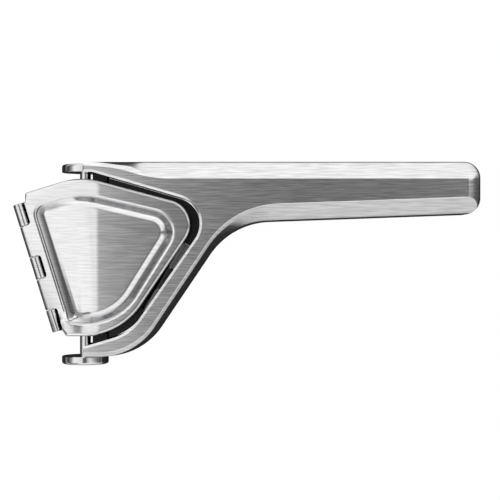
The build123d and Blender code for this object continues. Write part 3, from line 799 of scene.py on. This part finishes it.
def shellRings():
    # matched rings of the flat sheet: under it, round its rim and up over the raised part
    sheet = shellShape["sheet"]
    rimEdge = [(0.5, -sheet), (0.15, -sheet), (0.0, -sheet + 0.12), (0.0, -0.95), (0.1, -0.68), (0.25, -0.48),
               (0.45, -0.32), (0.7, -0.19), (1.0, -0.095), (1.35, -0.035), (1.7, -0.005), (2.0, 0.0)]
    insets = [-1.15, -1.0, -0.8, -0.6, -0.35, -0.25, -0.15, 0.0, 0.15, 0.3, 0.5, 0.8, 1.2, 1.6, 2.0, 2.4, 2.8, 3.1,
              3.4, 3.7, 3.95, 4.15, 4.3, 4.45, 4.6, 4.8, 5.1, 5.4, 5.8, 6.2]

    def level(loop, z):
        return [(p.x, p.y, z) for p in loop]

    # the inner surface first, from its middle out to the rim
    rings = [embossRing(i + 0.5, i, sheet) for i in (5.7, 4.3, 3.2, 1.6, 0.5, -0.4)]
    rings.append(level(rimLoop(0.8), -sheet))
    rings += [level(rimLoop(inset), z) for inset, z in rimEdge]
    flangeOuter, flangeInner = rimLoop(2.0), embossLoop(insets[0])
    for share in (0.2, 0.4, 0.6, 0.8):
        rings.append(level([a.lerp(b, share) for a, b in zip(flangeOuter, flangeInner)], 0.0))
    rings += [embossRing(inset, inset, 0.0) for inset in insets]
    return [[Vector(point) for point in ring] for ring in rings]


def shellSheet():
    # the sheet is drawn flat, cut across where the bend needs it, and then bent
    shape = shellShape
    bm = ringMesh(shellRings())
    cutsX = [shape["bendEnd"] + shape["creaseSoft"] * i / 3 for i in range(-3, 4)]
    cutsX += [shape["bendEnd"] - 0.8 * i for i in range(2, 27)]
    cutsX += [shape["bendEnd"] + 6, shape["bendEnd"] + 14, shape["bendEnd"] + 24, -18, -24]
    for x in cutsX:
        slicedAcross(bm, (x, 0, 0), (1, 0, 0))
    cutsY = [i * 7 for i in range(-4, 5)] + [shape["toeTop"] - i for i in range(-1, 7)]
    for y in cutsY:
        slicedAcross(bm, (0, y, 0), (0, 1, 0))
    for away in (shape["leftWall"], 7.0, 9.0, 12.0):
        slicedAcross(bm, Vector((*shape["base"][0][:2], 0)) + foldSide * away, foldSide)
    for vert in bm.verts:
        x, y, z = vert.co
        height, slope = bendHeight(x, y)
        height += toeLift(x, y)
        slope -= (toeLift(x - 0.1, y) - toeLift(x + 0.1, y)) / 0.2
        length = math.hypot(1, slope)
        vert.co = Vector((x - z * slope / length, y, shape["flat"] + height + z / length))
    return bm


def knuckleSpans():
    # where the rear plate's three knuckles and the front plate's two lie along the hinge
    shape = shellShape
    start, length = foldDistance - shape["hingeLength"] / 2, shape["knuckle"]
    between = (shape["hingeLength"] - 3 * length) / 2
    dark = [(start + i * (length + between), start + i * (length + between) + length) for i in range(3)]
    light = [(dark[i][1] + shape["knuckleGap"], dark[i + 1][0] - shape["knuckleGap"]) for i in range(2)]
    return dark, light


def notchCutter(span):
    # the room round the other plate's knuckle
    shape = shellShape
    half, depth = (span[1] - span[0]) / 2 + shape["knuckleGap"], shape["notchDepth"]
    corners = [(-depth, half), (depth, half), (depth, -half), (-depth, -half)]
    moved, lines = insetCorners(corners, [0] * 4)
    loop = []
    for i in range(4):
        loop += roundedCorner(moved[i], lines[i - 1][1], lines[i][1], shape["notchCorner"], 6)
    middle = apex + foldAxis * ((span[0] + span[1]) / 2)
    rings = []
    for z in (-1.0, 9.0):
        rings.append([middle + foldSide * p.x + foldAxis * p.y + Vector((0, 0, z)) for p in loop])
    return newObject("notch", ringMesh(rings))


def meshOf(obj, material=0):
    # the object's mesh to join to others; the object goes
    bm = bmesh.new()
    bm.from_mesh(obj.data)
    for face in bm.faces:
        face.material_index = material
    bpy.data.objects.remove(obj)
    return bm


def makeShell(name, ownSpans, otherSpans, bore):
    shape = shellShape
    body = newObject(name, shellSheet())
    # the sheet leaves the hinge's bore free
    rod = lathe([(bore, 0), (bore, shape["hingeLength"] + 4)], apex + foldAxis * (min(ownSpans + otherSpans)[0] - 2),
                foldAxis, 48)
    cut(body, newObject("bore", rod), *[notchCutter(span) for span in otherSpans])
    # the knuckles just touch the slanting sheet
    knuckles = grown("knuckles", ringTree, {
        "Radius": shape["knuckleRadius"] - 0.05, "Bore": bore, "Edge": 0.3, "Length": ownSpans[0][1] - ownSpans[0][0],
        "Start": ownSpans[0][0], "Pitch": ownSpans[1][0] - ownSpans[0][0], "Count": len(ownSpans),
        "Axis": tuple(foldAxis), "Origin": tuple(apex)}, hingeMetal)
    parts = [meshOf(body), meshOf(knuckles, 1)]
    inner, outer, foot = shape["bossBore"], shape["bossRadius"], shape["bossFoot"]
    for x, y in shape["screws"]:
        top = shape["flat"] + bendHeight(x, y)[0] - shape["bossSink"]
        profile = [(inner, foot), (outer, foot), (outer, top), (inner, top)]
        parts.append(lathe(profile, (x, y, 0), (0, 0, 1), 32, loop=True))
    return newObject(name, *parts)


# turned parts

def pinProfile(discY, direction, outerY):
    # distances run outwards from the pin's inner end
    shape = pinShape
    clipMiddle = outerY - direction * (2 * shape["earHeight"] + shape["clipRoom"])
    inner = clipMiddle - direction * shape["tail"]
    length = abs(discY - inner)
    head = length + shape["discThickness"]
    groove = abs(clipMiddle - inner)
    half, depth = shape["clipGroove"]
    r, big, edge = shape["radius"], shape["discRadius"], shape["edge"]
    profile = [(0.01, 0), (r - 0.3, 0), (r, 0.3), (r, groove - half), (r - depth, groove - half),
               (r - depth, groove + half), (r, groove + half), (r, length), (big - 0.3, length), (big, length + 0.3)]
    for i in range(9):
        angle = math.pi / 2 * i / 8
        profile.append((big - edge + edge * math.cos(angle), head - edge + edge * math.sin(angle)))
    profile += [(big - edge - 2, head), (0.01, head)]
    return profile, Vector((0, inner, 0)), Vector((0, direction, 0))


# metals

brushShape = {"fine": (90, 2000, 250), "broad": (35, 900, 120), "fineShare": 0.8, "depth": 0.00003}


def brushedMetal(name, colour, rough, streak, relief):
    # metal with long fine streaks along the arms: how much they change its tone, and how deep they are
    material = bpy.data.materials.new(name)
    material.use_nodes = True
    shader = Nodes(material.node_tree)
    place = shader.node("ShaderNodeTexCoord", {}, {}, "Object")
    fineMap = shader.node("ShaderNodeMapping", {}, {"Vector": place, "Scale": brushShape["fine"]})
    broadMap = shader.node("ShaderNodeMapping", {}, {"Vector": place, "Scale": brushShape["broad"]})
    fine = shader.node("ShaderNodeTexNoise", {}, {"Vector": fineMap, "Scale": 1.0, "Detail": 1.0})
    broad = shader.node("ShaderNodeTexNoise", {}, {"Vector": broadMap, "Scale": 1.0, "Detail": 1.0})
    grain = fine * brushShape["fineShare"] + broad * (1 - brushShape["fineShare"])
    dark = tuple(c * (1 - streak) for c in colour) + (1,)
    light = tuple(min(c * (1 + streak), 1) for c in colour) + (1,)
    contrast = shader.between(0.3, 0.7, grain)
    tone = shader.node("ShaderNodeMix", {"data_type": "RGBA"}, {0: contrast, 6: dark, 7: light}, 2)
    bump = shader.node("ShaderNodeBump", {}, {
        "Strength": relief, "Distance": brushShape["depth"], "Height": grain})
    surface = shader.node("ShaderNodeBsdfPrincipled", {}, {
        "Base Color": tone, "Metallic": 1.0, "Roughness": rough + (grain - 0.5) * 0.1, "Normal": bump})
    shader.node("ShaderNodeOutputMaterial", {}, {"Surface": surface})
    return material


armMetal = brushedMetal("brushedArm", (0.62, 0.62, 0.625), 0.2, 0.15, 0.012)
# near-black painted shade for the ears and webs deep in the arms' slot
paintedShadeBlackMetal = brushedMetal("paintedShadeBlackInside", (0.022, 0.022, 0.023), 0.3, 0.1, 0.05)
# dark grey painted shade for the link tabs that show in the slot
paintedShadeDarkMetal = brushedMetal("paintedShadeDarkTabs", (0.12, 0.12, 0.123), 0.38, 0.08, 0.05)
coverMetal = brushedMetal("brushedHandleCover", (0.58, 0.58, 0.585), 0.26, 0.1, 0.12)
shellMetal = brushedMetal("brushedShell", (0.66, 0.66, 0.665), 0.16, 0.09, 0.006)
hingeMetal = brushedMetal("turnedHinge", (0.6, 0.6, 0.605), 0.12, 0.12, 0.0)
# near-black painted shade for the inner plates, whose rims fill the slot
paintedShadePlateMetal = brushedMetal("paintedShadeInnerPlate", (0.03, 0.03, 0.031), 0.22, 0.12, 0.03)
pinMetal = brushedMetal("polishedPivotPin", (0.6, 0.6, 0.6), 0.1, 0.05, 0.0)
rodMetal = brushedMetal("polishedHingePin", (0.55, 0.55, 0.55), 0.14, 0.05, 0.03)
washerMetal = brushedMetal("plainWasher", (0.5, 0.5, 0.5), 0.25, 0.06, 0.05)
clipMetal = brushedMetal("darkSpringClip", (0.22, 0.22, 0.23), 0.3, 0.06, 0.05)
screwMetal = brushedMetal("plainScrew", (0.58, 0.58, 0.59), 0.2, 0.05, 0.04)
print("materials made")


# the pieces

finishPiece(makeArm("frontArm", 0), [armMetal, paintedShadeBlackMetal, paintedShadeDarkMetal], "front_arm_body", ["front_arm"])
finishPiece(mirrored(makeArm("rearArm", 1)), [armMetal, paintedShadeBlackMetal, paintedShadeDarkMetal], "rear_arm_body", ["rear_arm"])
print("arms made")

darkSpans, lightSpans = knuckleSpans()
closeBore = shellShape["pinRadius"] + shellShape["pinFit"]
wideBore = shellShape["pinRadius"] + shellShape["openClearance"]  # the hinge that closes the ring of joints
shellMetals = [shellMetal, hingeMetal]
finishPiece(makeShell("frontShell", lightSpans, darkSpans, closeBore),
            shellMetals, "front_plate", ["front_shell"], 40)
finishPiece(mirrored(makeShell("rearShell", darkSpans, lightSpans, wideBore)),
            shellMetals, "rear_plate", ["rear_shell"], 40)
print("jaws made")

for name, node, discY, direction, outerY in (
        ("upperPivotPin", "upper_pivot_pin", pinShape["topDisc"], 1, pinShape["topEar"]),
        ("lowerPivotPin", "lower_pivot_pin", pinShape["bottomDisc"], -1, pinShape["bottomEar"])):
    pin = newObject(name, lathe(*pinProfile(discY, direction, outerY), 128))
    finishPiece(pin, [pinMetal], "rear_arm_body", [node], 25)
print("pivot pins made")

coverScrews = [(x, (armShape["topY"] + undersideAt(x)) / 2) for x in coverShape["screws"]]
# where the screws are, how high their heads lie and how long they are
screwFits = {"cover": (coverScrews, 0.2, 4.8), "plate": (shellShape["screws"], 0.3, 3.6)}
for name, body, kind, side in (
        ("front_cover_screws", "front_arm_body", "cover", 1), ("rear_cover_screws", "rear_arm_body", "cover", -1),
        ("press_plate_screws", "front_plate", "plate", 1), ("strainer_plate_screws", "rear_plate", "plate", -1)):
    places, level, length = screwFits[kind]
    sizes = dict(screwSizes, Length=length, Direction=(0.0, 0.0, float(side)))
    screws = grown(name + "_slotted", screwTree, sizes, screwMetal, [(x, y, side * level) for x, y in places])
    finishPiece(screws, [], body, [name])

washerSizes = dict(ringSizes, Radius=4.3, Bore=2.84, Edge=0.08, Length=0.4, Count=1)
washerStarts = {"upper_pivot_washer": 32.32, "lower_pivot_washer": -40.42}
for name, start in washerStarts.items():
    washer = grown(name + "_ring", ringTree, dict(washerSizes, Start=start), washerMetal)
    finishPiece(washer, [], "rear_arm_body", [name])
print("screws and washers made")

# the rest keeps its plain shape and gets its metal; the inner plates get a near-black painted shade
finishes = {
    "front_handle_cover": coverMetal, "rear_handle_cover": coverMetal, "press_plate": paintedShadePlateMetal,
    "strainer_plate": paintedShadePlateMetal, "fold_hinge_pin": rodMetal, "front_link_pin": rodMetal, "rear_link_pin": rodMetal,
    "upper_pivot_clip": clipMetal, "lower_pivot_clip": clipMetal,
}
for node, material in finishes.items():
    mesh = frame["nodes"][node].data
    mesh.materials.clear()
    mesh.materials.append(material)


# floor, light and camera

# how bright the studio is low down, from the squeezer's lower side round to its upper side; the world lights with it,
# and the floor paints it in as painted light for metal to see
studioSides = [(0.0, 0.72), (0.24, 0.75), (0.37, 0.3), (0.46, 0.09), (0.6, 0.1), (0.7, 0.6), (0.8, 1.13), (1.0, 1.18)]


floorShape = {"size": 4.0, "drop": 0.0005, "white": 0.98, "grey": 0.025,
              "under": (0.12, 0.042, 0.035), "paintedShadowFade": (0.03, 0.08)}  # how far the squeezer reaches, in metres


def makeFloor():
    shape = floorShape
    bm = bmesh.new()
    bmesh.ops.create_grid(bm, x_segments=1, y_segments=1, size=shape["size"])
    floor = newObject("floor", bm)
    floor.data.transform(Matrix.Translation((0, 0, cadBox[0].z - shape["drop"])))
    material = bpy.data.materials.new("paleFloor")
    material.use_nodes = True
    shader = Nodes(material.node_tree)
    place = shader.node("ShaderNodeTexCoord", {}, {}, "Object")
    x = shader.node("ShaderNodeSeparateXYZ", {}, {"Vector": place}, "X")
    y = x.beside("Y")
    direct = shader.node("ShaderNodeLightPath", {}, {}, "Is Camera Ray")
    glossy, through = direct.beside("Is Glossy Ray"), direct.beside("Is Transmission Ray")
    # metal sees it with a painted shadow close under the squeezer, and a painted light on the side that the light
    # comes from
    halfLength, upper, lower = shape["under"]
    awayX = x.math("MAXIMUM", x.math("ABSOLUTE", x) - halfLength, 0.0)
    awayY = y.math("MAXIMUM", y - upper, -lower - y)
    awayY = y.math("MAXIMUM", awayY, 0.0)
    away = (awayX * awayX + awayY * awayY).root()
    reach = (x * x + y * y + 1e-6).root()
    # painted light: the glow that metal sees is brighter on the side the light comes from
    far = shader.ramp(y / reach * 0.5 + 0.5, studioSides)
    # painted shadow: close round the squeezer the glow that metal sees fades to dark
    near = shader.between(*shape["paintedShadowFade"], away)
    strength = direct * shape["white"] + through * shape["white"] + glossy * (near * far)
    glow = shader.node("ShaderNodeEmission", {}, {"Color": (1, 1, 1, 1), "Strength": strength})
    matt = shader.node("ShaderNodeBsdfDiffuse", {}, {"Color": (shape["grey"],) * 3 + (1,)})
    both = shader.node("ShaderNodeAddShader", {}, {0: glow, 1: matt})
    shader.node("ShaderNodeOutputMaterial", {}, {"Surface": both})
    floor.data.materials.append(material)


def makeWorld():
    world = bpy.data.worlds.new("studio")
    world.use_nodes = True
    bpy.context.scene.world = world
    shader = Nodes(world.node_tree)
    way = shader.node("ShaderNodeTexCoord", {}, {}, "Generated")
    x = shader.node("ShaderNodeSeparateXYZ", {}, {"Vector": way}, "X")
    y, z = x.beside("Y"), x.beside("Z")
    angle = z.math("ARCCOSINE", z) / math.pi  # 0 overhead, 0.5 at the horizon
    flat = (x * x + y * y + 1e-6).root()
    toLeft, toTop = (0.0 - x) / flat, y / flat
    toRight, toBottom = 0.0 - toLeft, 0.0 - toTop

    def stops(*pairs):
        # degrees from overhead, and how bright the studio is there
        return [(degrees / 180, level) for degrees, level in pairs]

    def betweenDegrees(start, end):
        return shader.between(start / 180, end / 180, angle)

    left = shader.ramp(angle, stops((0, 0.18), (7, 0.26), (9.5, 1.2), (13, 1.3), (18, 1.1), (24, 1.3), (50, 1.36),
                                    (54, 1.2), (59, 0.85), (65, 0.5), (73, 0.27), (84, 0.1), (100, 0.03)))
    rest = shader.ramp(angle, stops((0, 0.17), (11, 0.17), (20, 0.9), (35, 1.3), (78, 1.3), (92, 1.0), (110, 0.3)))
    right = shader.ramp(angle, stops((0, 0.17), (11, 0.17), (20, 0.15), (30, 0.15), (41, 0.18), (52, 0.24), (63, 0.27),
                                     (76, 0.21), (90, 0.15), (126, 0.05)))

    # low down it changes from side to side
    low = betweenDegrees(50, 80)
    bySide = shader.ramp(toTop * 0.5 + 0.5, studioSides)
    rest = rest * ((1.0 - low) + low * bySide)

    # a dark patch at the lower left, and a narrow dark screen straight to the right
    patch = shader.between(0.27, 0.335, toBottom) * betweenDegrees(24, 40) * (1.0 - betweenDegrees(56, 64))
    left = left * (1.0 - patch) + 0.14 * patch
    slit = shader.between(-0.18, -0.09, toTop) * (1.0 - shader.between(0.09, 0.18, toTop))
    slit = slit * shader.between(0.5, 0.7, toRight)
    rest = rest * (1.0 - slit) + right * slit
    share = shader.between(0.4, 0.9, toLeft)
    level = left * share + rest * (1.0 - share)
    background = shader.node("ShaderNodeBackground", {}, {"Color": (1, 1, 1, 1), "Strength": level})
    shader.node("ShaderNodeOutputWorld", {}, {"Surface": background})


lampShape = {"size": 0.7, "energy": 6.0, "place": (-0.25, 0.4, 0.9)}


def makeLight():
    lamp = bpy.data.lights.new("softLamp", "AREA")
    lamp.shape, lamp.size, lamp.energy = "DISK", lampShape["size"], lampShape["energy"]
    light = bpy.data.objects.new("softLamp", lamp)
    light.location = lampShape["place"]
    light.rotation_euler = (Vector((0, 0, 0)) - light.location).to_track_quat("-Z", "Y").to_euler()
    light.visible_glossy = False
    bpy.context.scene.collection.objects.link(light)


cameraShape = {"lens": 92.0, "sensor": 36.0, "place": (84.98, 0, 660)}  # square on to the flat side


def makeCamera():
    lens = bpy.data.cameras.new("camera")
    lens.sensor_width, lens.lens = cameraShape["sensor"], cameraShape["lens"]
    lens.clip_start, lens.clip_end = 0.01, 20.0
    camera = bpy.data.objects.new("camera", lens)
    camera.location = pivot + Vector(cameraShape["place"]) * mm
    bpy.context.scene.collection.objects.link(camera)
    bpy.context.scene.camera = camera


makeFloor()
makeWorld()
makeLight()
makeCamera()
bpy.context.scene.view_settings.view_transform = "Standard"
print("floor, light and camera made")
